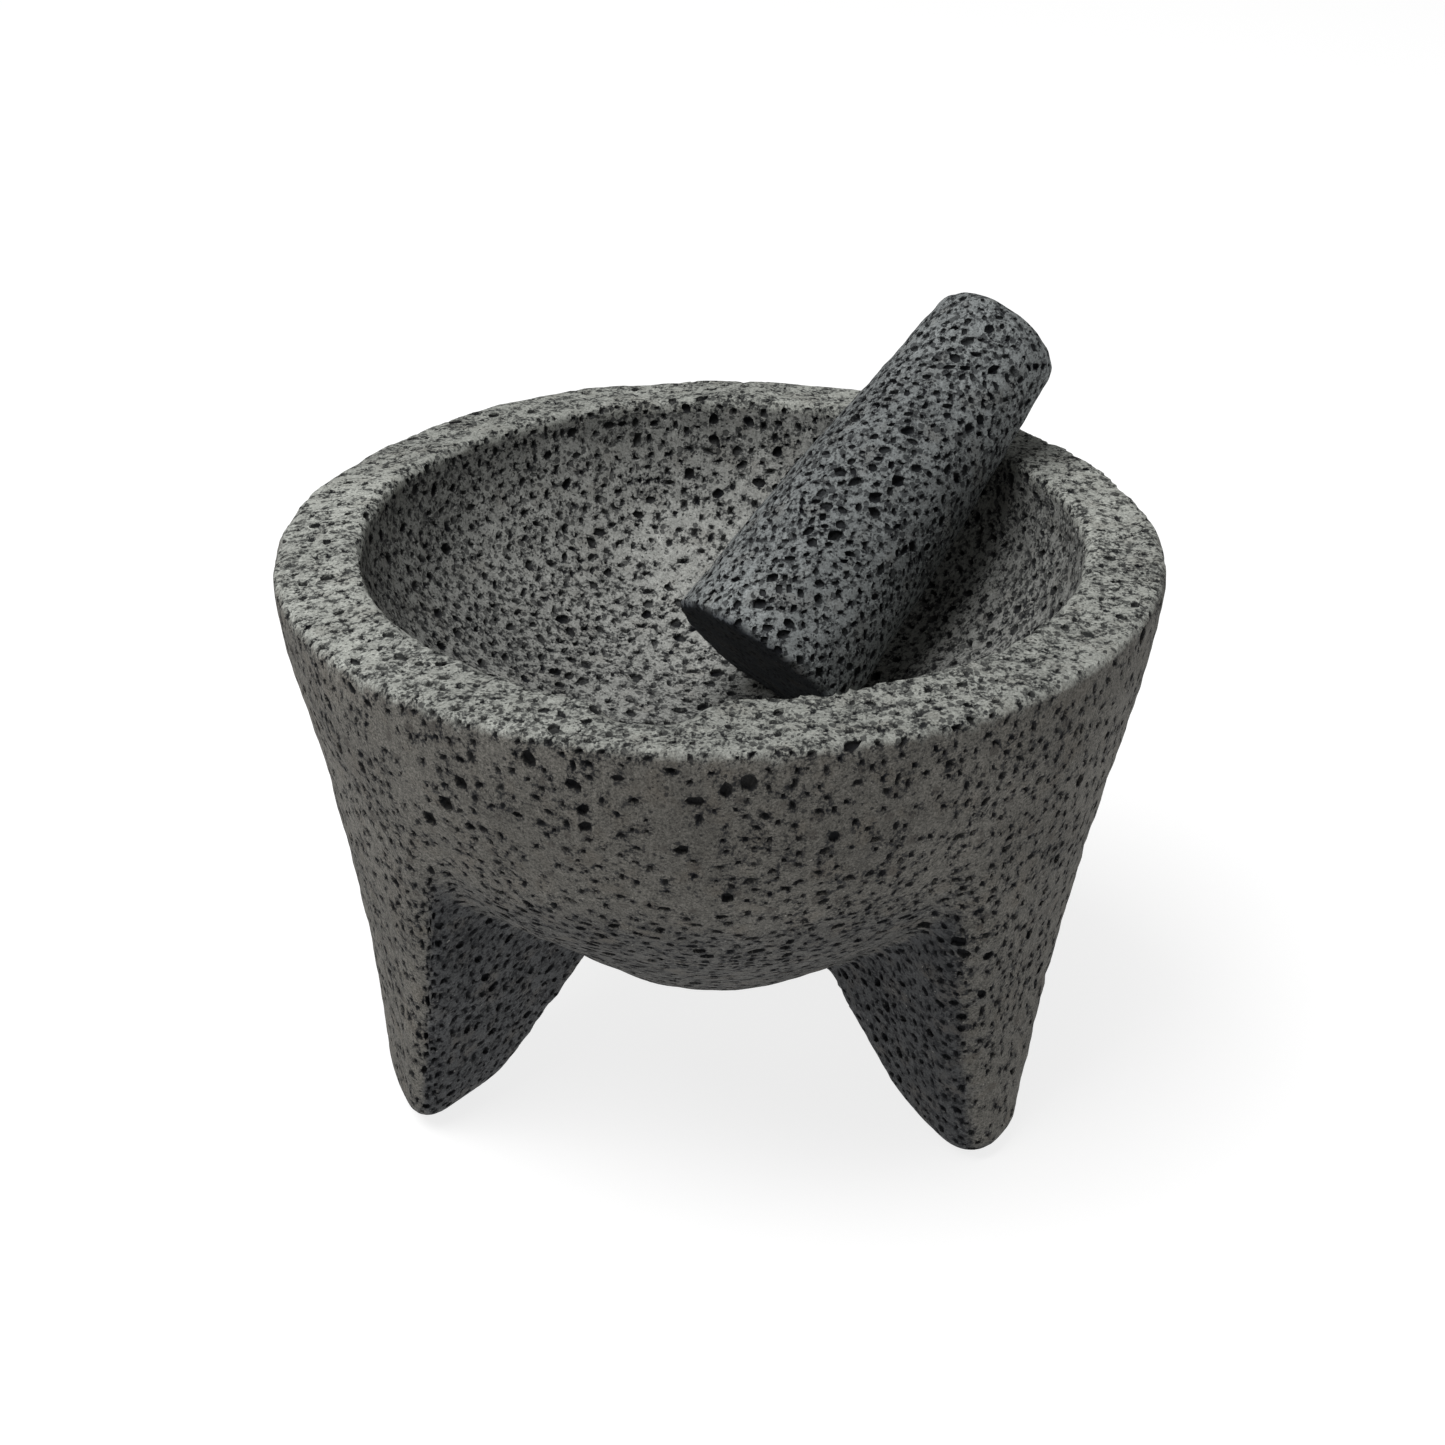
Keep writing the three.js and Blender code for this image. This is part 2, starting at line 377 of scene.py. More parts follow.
def rough_block(node, voxel):
    """Points and four-sided faces of a voxel remesh of a merged copy of a CAD node."""
    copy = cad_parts[node].copy()
    copy.data = copy.data.copy()
    bpy.context.scene.collection.objects.link(copy)
    weld = copy.modifiers.new("weld", "WELD")
    weld.merge_threshold = 0.001 * MM
    remesh = copy.modifiers.new("remesh", "REMESH")
    remesh.mode = "VOXEL"
    remesh.voxel_size = voxel
    shape = copy.evaluated_get(bpy.context.evaluated_depsgraph_get())
    mesh = bpy.data.meshes.new_from_object(shape)
    points = np.empty(len(mesh.vertices) * 3)
    mesh.vertices.foreach_get("co", points)
    corners = np.empty(len(mesh.loops), dtype=np.int64)
    mesh.loops.foreach_get("vertex_index", corners)
    assert len(corners) == 4 * len(mesh.polygons), "the remesh gives four-sided faces only"
    bpy.data.objects.remove(copy)
    bpy.data.meshes.remove(mesh)
    print(node, "block:", len(points) // 3, "points,", len(corners) // 4, "faces")
    return points.reshape(-1, 3), corners.reshape(-1, 4)


# %% Slope, settling and relaxing


def slope(field, points, step=0.05 * MM):
    """Gradient of the field: the difference over a small step each way along X, Y and Z."""
    parts = []
    for shift in np.eye(3) * step:
        parts.append((field(points + shift) - field(points - shift)) / (2 * step))
    return np.stack(parts, axis=1)


def settle(field, points, rounds, limit=1.5 * MM):
    """Newton's step, repeated: each point moves against the slope by value over slope squared."""
    for _ in range(rounds):
        gradient = slope(field, points)
        step = field(points)[:, None] * gradient / (gradient**2).sum(axis=1, keepdims=True)
        size = np.linalg.norm(step, axis=1, keepdims=True)
        points = points - step * np.minimum(1, limit / (size + 1e-12))
    return points


def relax(points, faces, amount=0.5):
    """Moves each point part of the way to the mean of the points it shares an edge with."""
    ends = np.concatenate([faces, np.roll(faces, 1, axis=1)])
    other = np.concatenate([np.roll(faces, 1, axis=1), faces])
    count = np.bincount(ends.ravel(), minlength=len(points))[:, None]
    total = np.stack(
        [np.bincount(ends.ravel(), points[other.ravel(), k], len(points)) for k in range(3)],
        axis=1,
    )
    return points + amount * (total / count - points)


def dress(node, voxel, field):
    """Even net of points and faces on the zero of the field."""
    points, faces = rough_block(node, voxel)
    points = settle(field, points, 3)
    for _ in range(4):
        points = settle(field, relax(points, faces), 1)
    points = settle(field, points, 2)
    print(node, "skin: worst distance", round(float(np.abs(field(points)).max()) / MM, 4), "mm")
    return points, faces


# %% [markdown]
# ## Pores
# The lava was full of gas when it set, and the mason's cuts open the bubbles. Each larger pore is
# real geometry, made in the net itself. Its mouth is a ring of points taken from the net, moved
# onto a small uneven ellipse on the skin, and its bottom is one point sunk below them. Three kinds
# of patch give three sizes: the eight points round a point, the six round an edge, and the four
# of one face. Two mouths may not share a point, so patches are picked by lot: a patch wins if its
# number is the highest at every point it needs, and the draw is repeated among the patches left.

# %% Rings of points on the net


def rings_of_eight(faces):
    """Points round each point that has exactly four faces, in turn, with that point as the last
    column. Going round, the next face is the one whose second corner is this face's last."""
    order = np.argsort(faces.ravel(), kind="stable")
    count = np.bincount(faces.ravel())
    start = np.concatenate([[0], np.cumsum(count)[:-1]])
    middle = np.flatnonzero(count == 4)
    corner = order[start[middle][:, None] + np.arange(4)]
    face, place = corner // 4, corner % 4
    second, third, last = (faces[face, (place + turn) % 4] for turn in (1, 2, 3))
    row = np.arange(len(middle))
    now = np.zeros(len(middle), dtype=np.int64)
    ring = []
    for _ in range(4):
        ring += [second[row, now], third[row, now]]
        now = (second == last[row, now][:, None]).argmax(axis=1)
    return np.stack(ring + [middle], axis=1), face


def rings_of_six(faces):
    """Points round each edge: the corners of its two faces, in turn."""
    start, end = faces, np.roll(faces, -1, axis=1)
    key = np.minimum(start, end) * (faces.max() + 1) + np.maximum(start, end)
    order = np.argsort(key.ravel(), kind="stable")
    pairs = order[: len(order) // 2 * 2].reshape(-1, 2)
    pairs = pairs[key.ravel()[pairs[:, 0]] == key.ravel()[pairs[:, 1]]]
    face, place = pairs // 4, pairs % 4
    halves = [faces[face[:, side], (place[:, side] + turn) % 4]
              for side in (0, 1) for turn in (1, 2, 3)]
    return np.stack(halves, axis=1), face


def rings_of_four(faces):
    """Each face is a ring of its own."""
    return faces, np.arange(len(faces))[:, None]


# %% Drawing lots


def draw_patches(rings, taking_part, used, draws, rounds=8):
    """Indices of the patches that win. Each round, every point takes the highest number among
    the patches that need it, and a patch wins if all of its points took its number."""
    live = np.flatnonzero(taking_part)
    lots = draws.random(len(live))
    winners = []
    for _ in range(rounds):
        free = ~used[rings[live]].any(axis=1)
        live, lots = live[free], lots[free]
        best = np.zeros(len(used))
        np.maximum.at(best, rings[live], lots[:, None])
        wins = (best[rings[live]] == lots[:, None]).all(axis=1)
        winners.append(live[wins])
        used[rings[live[wins]]] = True
        live, lots = live[~wins], lots[~wins]
    return np.concatenate(winners)


def nearest_patches(points, rings, used, places):
    """Indices of the free patches whose middles are nearest to the given places."""
    picks = []
    for place in places:
        distance = np.linalg.norm(points[rings[:, -1]] - place, axis=1)
        distance[used[rings].any(axis=1)] = np.inf
        picks.append(int(distance.argmin()))
        used[rings[picks[-1]]] = True
    return np.array(picks)


# %% Directions across the skin


def tangents(normals):
    """Two unit vectors square to each normal and to each other, the first one level."""
    level = np.stack([-normals[:, 1], normals[:, 0], np.zeros(len(normals))], axis=1)
    length = np.linalg.norm(level, axis=1, keepdims=True)
    level = np.where(length > 0.05, level / np.maximum(length, 1e-9), [1.0, 0.0, 0.0])
    level -= (level * normals).sum(axis=1, keepdims=True) * normals
    level /= np.linalg.norm(level, axis=1, keepdims=True)
    return level, np.cross(normals, level)


# %% Opening one kind of pore
# Painted shade: a pore's colour darkens from its mouth to its bottom, as the shade inside it would.
MOUTH_DARKNESS, WALL_DARKNESS = 0.28, 0.8  # the bottom of a pore is 1
LONGEST = {4: 1.25, 6: 1.42, 8: 1.4}  # longest mouth for each number of points, over a circle
ROUNDER = 0.3  # how much less than that the roundest mouth is stretched
SPIN = {4: math.pi, 6: 0.8, 8: math.pi}  # how much its long way may turn, in radians
FARTHEST = 1.4  # a mouth's point moves out by at most this, so that it stays among its faces
CUP_WIDTH, CUP_DEPTH = 0.84, 0.62  # a cup's second ring, as shares of its mouth and its depth


def pore_mouths(field, points, rings, radii, draws):
    """Moves each ring onto an ellipse round its middle: every point keeps its direction from the
    middle, and its distance becomes the ellipse's radius there, with a little raggedness. Returns
    the middles and the normals too."""
    middle = settle(field, points[rings].mean(axis=1), 2)
    normals = slope(field, middle)
    normals /= np.linalg.norm(normals, axis=1, keepdims=True)
    level, upright = tangents(normals)
    away = points[rings] - middle[:, None]
    across = (away * level[:, None]).sum(axis=2)
    up = (away * upright[:, None]).sum(axis=2)
    angle = np.arctan2(up, across)
    long_way = 0.5 * np.arctan2(2 * (across * up).mean(axis=1), (across**2 - up**2).mean(axis=1))
    long_way += SPIN[rings.shape[1]] * draws.uniform(-0.5, 0.5, len(rings))
    longest = LONGEST[rings.shape[1]]
    stretch = draws.uniform(longest - ROUNDER, longest, len(rings))[:, None]
    turned = angle - long_way[:, None]
    reach = radii[:, None] * draws.uniform(0.8, 1.2, rings.shape)
    reach /= np.sqrt((np.cos(turned) / stretch) ** 2 + (np.sin(turned) * stretch) ** 2)
    reach = np.minimum(reach, FARTHEST * np.hypot(across, up))
    mouth = (
        middle[:, None]
        + (reach * np.cos(angle))[:, :, None] * level[:, None]
        + (reach * np.sin(angle))[:, :, None] * upright[:, None]
    )
    points[rings] = settle(field, mouth.reshape(-1, 3), 2).reshape(mouth.shape)
    return middle, normals


def open_pores(field, points, patches, draws):
    """Opens every patch: moves its mouth, then adds its bottom, and for a cup a second ring between
    them. patches holds (rings, radii, is_cup). Returns the points, the new triangles and four-sided
    faces, and how deep in a pore each point is, from 0 to 1, which sets the painted shade in the
    pore."""
    points = points.copy()
    inside = [np.zeros(len(points))]
    for rings, _, _ in patches:
        inside[0][rings] = MOUTH_DARKNESS
    extra, triangles, quads = [], [], []
    total = len(points)
    for rings, radii, is_cup in patches:
        middle, normals = pore_mouths(field, points, rings, radii, draws)
        depth = (radii * draws.uniform(0.85, 1.4, len(radii)))[:, None]
        edge = rings
        if is_cup:
            mouth = points[rings]
            wall = middle[:, None] + CUP_WIDTH * (mouth - middle[:, None])
            wall -= (CUP_DEPTH * depth * normals)[:, None]
            edge = total + np.arange(rings.size).reshape(rings.shape)
            extra.append(wall.reshape(-1, 3))
            inside.append(np.full(rings.size, WALL_DARKNESS))
            total += rings.size
            after = np.roll(rings, -1, axis=1), np.roll(edge, -1, axis=1)
            quads.append(np.stack([rings, after[0], after[1], edge], axis=2).reshape(-1, 4))
        bottom = total + np.arange(len(rings))
        extra.append(middle - depth * normals)
        inside.append(np.ones(len(rings)))
        total += len(rings)
        corner = np.repeat(bottom[:, None], rings.shape[1], axis=1)
        triangles.append(np.stack([edge, np.roll(edge, -1, axis=1), corner], axis=2).reshape(-1, 3))
    return (
        np.concatenate([points] + extra),
        np.concatenate(triangles),
        np.concatenate(quads) if quads else np.zeros((0, 4), dtype=np.int64),
        np.concatenate(inside),
    )


# %% Making the mesh
SHARP = math.radians(38)  # faces that meet at more than this have a crisp edge, as at a pore


def mesh_object(name, points, quads, triangles, masks):
    """Fills a mesh from arrays, leaving out the points no face uses, with one float attribute for
    each mask."""
    corners = np.concatenate([quads.ravel(), triangles.ravel()])
    kept, corners = np.unique(corners, return_inverse=True)
    sides = np.concatenate([np.full(len(quads), 4), np.full(len(triangles), 3)])
    mesh = bpy.data.meshes.new(name)
    mesh.vertices.add(len(kept))
    mesh.vertices.foreach_set("co", points[kept].ravel())
    mesh.loops.add(len(corners))
    mesh.loops.foreach_set("vertex_index", corners)
    mesh.polygons.add(len(sides))
    mesh.polygons.foreach_set("loop_start", np.concatenate([[0], np.cumsum(sides)[:-1]]))
    mesh.update(calc_edges=True)
    mesh.polygons.foreach_set("use_smooth", np.ones(len(sides), dtype=bool))
    mesh.set_sharp_from_angle(angle=SHARP)
    for mask, values in masks.items():
        layer = mesh.attributes.new(mask, "FLOAT", "POINT")
        layer.data.foreach_set("value", values[kept].astype(np.float32))
    changed = mesh.validate()
    piece = bpy.data.objects.new(name, mesh)
    bpy.context.scene.collection.objects.link(piece)
    print(name, len(kept), "points,", int((sides - 2).sum()), "triangles, repaired:", changed)
    return piece


# %% A pored stone
Pores = namedtuple("Pores", "rings_of chance size scatter smallest largest is_cup")


def pored_stone(name, field, points, faces, bubbles, kinds, masks, draws):
    """Places the widest bubbles, draws the patches of each kind in turn, opens them all, and
    makes the piece. bubbles holds (place, radius). In a kind of pores, chance and size are the
    chance of a pore and its middle radius at each point, and a radius is that size times a random
    number with a lognormal spread of scatter."""
    used = np.zeros(len(points), dtype=bool)
    gone = np.zeros(len(faces), dtype=bool)
    rings, covered = rings_of_eight(faces)
    widest = nearest_patches(points, rings, used, [place for place, _ in bubbles])
    gone[covered[widest].ravel()] = True
    patches = [(rings[widest][:, :8], np.array([radius for _, radius in bubbles]), True)]
    for kind in kinds:
        rings, covered = kind.rings_of(faces)
        taking_part = draws.random(len(rings)) < kind.chance[rings].mean(axis=1)
        won = draw_patches(rings, taking_part, used, draws)
        gone[covered[won].ravel()] = True
        ring = rings[won][:, :8] if rings.shape[1] == 9 else rings[won]
        local = np.broadcast_to(kind.size, len(points))[ring].mean(axis=1)
        radii = local * draws.lognormal(0, kind.scatter, len(won))
        patches.append((ring, np.clip(radii, kind.smallest, kind.largest), kind.is_cup))
        print(name, len(won), "pores of", ring.shape[1], "sides")
    points, triangles, quads, inside = open_pores(field, points, patches, draws)
    quads = np.concatenate([faces[~gone], quads])
    values = {mask: zone(points) for mask, zone in masks.items()}
    return mesh_object(name, points, quads, triangles, {"pore": inside, **values})


# %% [markdown]
# ## The bowl
# Pores crowd the hollow, where grinding keeps them open, and are sparser on the dressed outside,
# where the mason's pick has bruised many shut. So both the chance of a pore and the colour follow
# where a point lies. The zones could be painted by hand, but worked out from each point's place
# they fit the stone at any fineness of the net.

# %% Zones of the bowl


def smooth_step(low, high, values):
    """0 below low, 1 above high, and a soft S between them."""
    t = np.clip((values - low) / (high - low), 0, 1)
    return t * t * (3 - 2 * t)


def on_rim(points):
    """1 on the flat top of the rim."""
    return smooth_step(BOWL_HEIGHT - 2.9 * MM, BOWL_HEIGHT - 1.6 * MM, points[:, 2])


def in_hollow(points):
    """1 on the hollow's surface and in its pores, 0 on the rim and the outside."""
    x, y, z = points.T
    away = np.abs(hollow_field(np.hypot(x, y), z, HOLLOW_RADIUS + lip_shape(x, y)[0]))
    return smooth_step(6 * MM, 3.5 * MM, away) * (1 - on_rim(points))


def ground_patch(points):
    """1 in the middle of the back of the hollow, which grinding has worn smooth; its lighter colour
    is partly painted light.
    """
    worn = np.array([-12, 62, 108]) * MM
    return np.exp(-((np.linalg.norm(points - worn, axis=1) / (30 * MM)) ** 2))


def painted_shade_zone(points):
    """1 on the sides of the legs, and half that on the belly, where shade is painted into the
    colour. The sides of a leg face across the bowl's radius, so the level part of their normal is
    longer than its part along the radius. On the belly the normal points down."""
    x, y, z = points.T
    normals = slope(bowl_field, points)
    normals /= np.linalg.norm(normals, axis=1, keepdims=True)
    level = np.hypot(normals[:, 0], normals[:, 1])
    along_radius = (normals[:, 0] * x + normals[:, 1] * y) / (np.hypot(x, y) + 1e-9)
    side = smooth_step(0.15, 0.5, level - along_radius)
    under = smooth_step(0.1, 0.6, -normals[:, 2])
    low = smooth_step(100 * MM, 85 * MM, z)
    return low * (1 - in_hollow(points)) * np.maximum(side, 0.5 * under)


def painted_light_and_wear(points):
    """1 on the worn patch of the hollow and on the left of the outside, and less on its right and
    its back. On the outside it is painted light; on the worn patch it is partly wear and partly
    painted light."""
    turn = np.arctan2(points[:, 1], points[:, 0])
    left = 0.85 * np.clip(np.cos(turn - math.radians(186)), 0, 1) ** 2
    right = 0.6 * np.clip(np.cos(turn - math.radians(20)), 0, 1) ** 2
    back = 0.45 * np.clip(np.cos(turn - math.radians(96)), 0, 1)
    outside = np.maximum.reduce([left, right, back])
    return np.maximum((1 - in_hollow(points)) * outside, ground_patch(points))


# %% Places of the widest bubbles


def on_wall(degrees, height):
    """A place on the outer wall, from its turn round the axis and its height in millimetres."""
    radius = parabola(height * MM)
    turn = math.radians(degrees)
    return np.array([radius * math.cos(turn), radius * math.sin(turn), height * MM])


wall_bubbles = [
    (on_wall(-122.8, 112.5), 2.2 * MM),
    (on_wall(-119, 117.8), 2.4 * MM),
    (on_wall(-115.8, 126), 2 * MM),
    (on_wall(-106.3, 137), 2 * MM),
    (on_wall(-100, 125.3), 1.6 * MM),
    (on_wall(-88.3, 117.3), 1.5 * MM),
    (on_wall(-87.3, 130.8), 1.8 * MM),
    (on_wall(-83.8, 133), 1.6 * MM),
    (on_wall(-81, 133.8), 2.2 * MM),
    (on_wall(-83, 102.3), 1.7 * MM),
]
print(len(wall_bubbles), "wide bubbles on the wall")

# %% Crowding of the pores
FEWEST, MOST = 0.05, 2


def crowding(points, mean, clouds):
    """How many pores there are, over the usual number: a mean, with clouds added that are each
    given by a height, a wavelength and a seed."""
    return np.clip(mean + hand_work(points, clouds), FEWEST, MOST)


BOWL_NET = 1.545 * MM
bowl_points, bowl_faces = dress("bowl", BOWL_NET, bowl_field)
flat_top = on_rim(bowl_points)
inner = np.maximum.reduce([in_hollow(bowl_points), 0.9 * flat_top, 0.8 * painted_shade_zone(bowl_points)])
crowd = crowding(bowl_points, 0.9, [(0.45, 24 * MM, 8), (0.5, 8 * MM, 10)])
crowd *= 1 - 0.95 * ground_patch(bowl_points)
print("pores crowd from", crowd.min().round(2), "to", crowd.max().round(2), "of the usual number")

# %% Build the bowl
draws = np.random.default_rng(11)
bowl_pores = [
    Pores(
        rings_of_eight, (0.005 + 0.085 * inner * (1 - 0.75 * flat_top)) * crowd,
        size=1.3 * MM, scatter=0.22, smallest=0.9 * MM, largest=2.3 * MM, is_cup=True,
    ),
    Pores(
        rings_of_six, (0.035 + 0.45 * inner * (1 - 0.4 * flat_top)) * crowd,
        size=(1.05 - 0.1 * flat_top) * MM, scatter=0.25,
        smallest=0.6 * MM, largest=1.45 * MM, is_cup=False,
    ),
    Pores(
        rings_of_four, (0.16 + 0.84 * inner) * crowd,
        size=(0.8 - 0.1 * flat_top) * MM, scatter=0.22,
        smallest=0.45 * MM, largest=1.05 * MM, is_cup=False,
    ),
]
bowl = pored_stone(
    "bowl_stone", bowl_field, bowl_points, bowl_faces, wall_bubbles, bowl_pores,
    {"hollow": in_hollow, "rim": on_rim, "painted_shade_zone": painted_shade_zone, "painted_light_and_wear": painted_light_and_wear},
    draws,
)

# %% [markdown]
# ## The pestle
# The hand stone is a cooler grey than the mortar, and its pores are smaller, closer and the same all
# round. Only the wide face, which grinds, is worn shut, and it is painted dark as shade; the side
# next to it is painted a little paler as light. It could be a turned mesh with pores in its material
# alone, but it lies beside the hollow's real pores, so it is made by the same steps, with sizes of
# its own.

# %% Places on the pestle


def along_pestle(points):
    """How far each point lies along the pestle's axis from its wide end."""
    return (points - PESTLE_SEAT) @ PESTLE_AXIS


def wide_face(points):
    """1 on the grinding face at the wide end, where shade is painted on as a dark colour."""
    return smooth_step(2.2 * MM, 1 * MM, along_pestle(points))


def on_pestle(along, degrees):
    """A place on the pestle's side, from the distance along it and the turn round it."""
    level = np.array([-math.sin(PESTLE_AZIMUTH), math.cos(PESTLE_AZIMUTH), 0])
    upright = np.cross(PESTLE_AXIS, level)
    turn = math.radians(degrees)
    out = math.cos(turn) * level + math.sin(turn) * upright
    radius = PESTLE_WIDE + (PESTLE_NARROW - PESTLE_WIDE) * along * MM / PESTLE_LENGTH
    return PESTLE_SEAT + along * MM * PESTLE_AXIS + radius * out


side_bubbles = [
    (on_pestle(32.5, 125), 2 * MM),
    (on_pestle(44.5, 132), 1.8 * MM),
    (on_pestle(41.5, 174), 2 * MM),
    (on_pestle(46, 113), 1.6 * MM),
    (on_pestle(47, 91), 1.8 * MM),
    (on_pestle(63.5, 119), 1.6 * MM),
    (on_pestle(63, 168), 1.7 * MM),
    (on_pestle(90.5, 112), 1.6 * MM),
    (on_pestle(39.5, 103), 1.3 * MM),
]
print(len(side_bubbles), "wide bubbles on the pestle")

# %% Build the pestle
PESTLE_NET = 1.3 * MM
pestle_points, pestle_faces = dress("pestle", PESTLE_NET, pestle_field)
crowd = crowding(pestle_points, 0.9, [(0.4, 15 * MM, 9), (0.5, 7 * MM, 11)])
crowd *= smooth_step(1.5 * MM, 4 * MM, along_pestle(pestle_points))  # its crisp edge is whole
pestle_pores = [
    Pores(
        rings_of_eight, 0.06 * crowd, size=1.15 * MM, scatter=0.22,
        smallest=0.8 * MM, largest=2 * MM, is_cup=True,
    ),
    Pores(
        rings_of_six, 0.4 * crowd, size=0.86 * MM, scatter=0.22,
        smallest=0.5 * MM, largest=1.15 * MM, is_cup=True,
    ),
    Pores(
        rings_of_four, 0.9 * crowd, size=0.64 * MM, scatter=0.24,
        smallest=0.3 * MM, largest=0.85 * MM, is_cup=False,
    ),
]
pestle = pored_stone(
    "pestle_stone", pestle_field, pestle_points, pestle_faces, side_bubbles, pestle_pores,
    {
        "hollow": lambda points: np.ones(len(points)),
        "rim": lambda points: np.zeros(len(points)),
        # The wide face gets painted shade, and the side near it painted light.
        "painted_shade_zone": wide_face,
        "painted_light_and_wear": lambda points: 0.6 * smooth_step(55 * MM, 0, along_pestle(points)),
    },
    draws,
)

# %% [markdown]
# ## Basalt
# Vesicular basalt is a grey, fine-grained rock: a dark glassy groundmass with pale specks of
# feldspar, cut matt by the pick. The eye sees three scales: pores of 1 to 3 mm, a sandy grain under
# half a millimetre, and slow drifts of colour over centimetres. The pores that are too small for the
# net are spots in the material, pushed in by a bump and darkened with painted shade, as the net's
# pores are. They could be an image laid on the stone, but a pattern in the object's own coordinates
# has no seams and runs into the pores.

# %% Colour and node helpers


def linear(hex_colour):
    """Turns an sRGB hex colour into linear red, green, blue and alpha: a straight part near
    black, and a power of 2.4 above it."""
    values = [int(hex_colour[i : i + 2], 16) / 255 for i in (1, 3, 5)]
    lin = [v / 12.92 if v <= 0.04045 else ((v + 0.055) / 1.055) ** 2.4 for v in values]
    return (*lin, 1.0)


print("mid grey is", round(linear("#808080")[0], 3), "in linear light")


def add(tree, kind, inputs=None, output=0, **settings):
    """Adds a node with its settings. Each input is a socket, which is linked, or a plain value.
    Returns one of the node's outputs."""
    item = tree.nodes.new(kind)
    for name, value in settings.items():
        setattr(item, name, value)
    for name, value in (inputs or {}).items():
        if isinstance(value, bpy.types.NodeSocket):
            tree.links.new(value, item.inputs[name])
        else:
            item.inputs[name].default_value = value
    return item.outputs[output] if item.outputs else item


# %% Patterns of the stone
ATTRIBUTE, NOISE, RANGE = "ShaderNodeAttribute", "ShaderNodeTexNoise", "ShaderNodeMapRange"
MATH, VECTOR_MATH = "ShaderNodeMath", "ShaderNodeVectorMath"
MIX = "ShaderNodeMix"  # for colours, its inputs are 0 factor, 6 first and 7 second; its output is 2


def drifting(tree, place, size, detail, rough, low, high):
    """Noise of the given size in metres, stretched so that its usual range, 0.3 to 0.7, runs from
    low to high."""
    noise = add(tree, NOISE, {
        "Vector": place, "Scale": 1 / size, "Detail": detail, "Roughness": rough,
    })
    return add(tree, RANGE, {
        "Value": noise, "From Min": 0.3, "From Max": 0.7, "To Min": low, "To Max": high,
    })


def bent_place(tree, place, size, amount):
    """The place, moved a little by a coloured noise, so that the spots aren't round."""
    noise = add(tree, NOISE, {"Vector": place, "Scale": 1 / size, "Detail": 1.0}, "Color")
    shift = add(tree, VECTOR_MATH, {0: noise, 1: (0.5, 0.5, 0.5)}, operation="SUBTRACT")
    shift = add(tree, VECTOR_MATH, {0: shift, "Scale": amount}, operation="SCALE")
    return add(tree, VECTOR_MATH, {0: place, 1: shift}, operation="ADD")


def spots(tree, place, size, smallest, largest, less=0.0):
    """Spots, one to a cell: 1 where the distance from the cell's middle is below a radius of its
    own, between smallest and largest as shares of the cell, less a further amount."""
    cells = {"Vector": place, "Scale": 1 / size}
    distance = add(tree, "ShaderNodeTexVoronoi", cells, "Distance")
    own = add(tree, "ShaderNodeTexVoronoi", cells, "Color")
    own = add(tree, "ShaderNodeSeparateColor", {"Color": own}, "Red")
    radius = add(tree, RANGE, {"Value": own, "To Min": smallest, "To Max": largest})
    radius = add(tree, MATH, {0: radius, 1: less}, operation="SUBTRACT")
    depth = add(tree, MATH, {0: radius, 1: distance}, operation="SUBTRACT")
    return add(tree, RANGE, {"Value": depth, "From Min": 0.0, "From Max": 0.11})


# %% The stone material


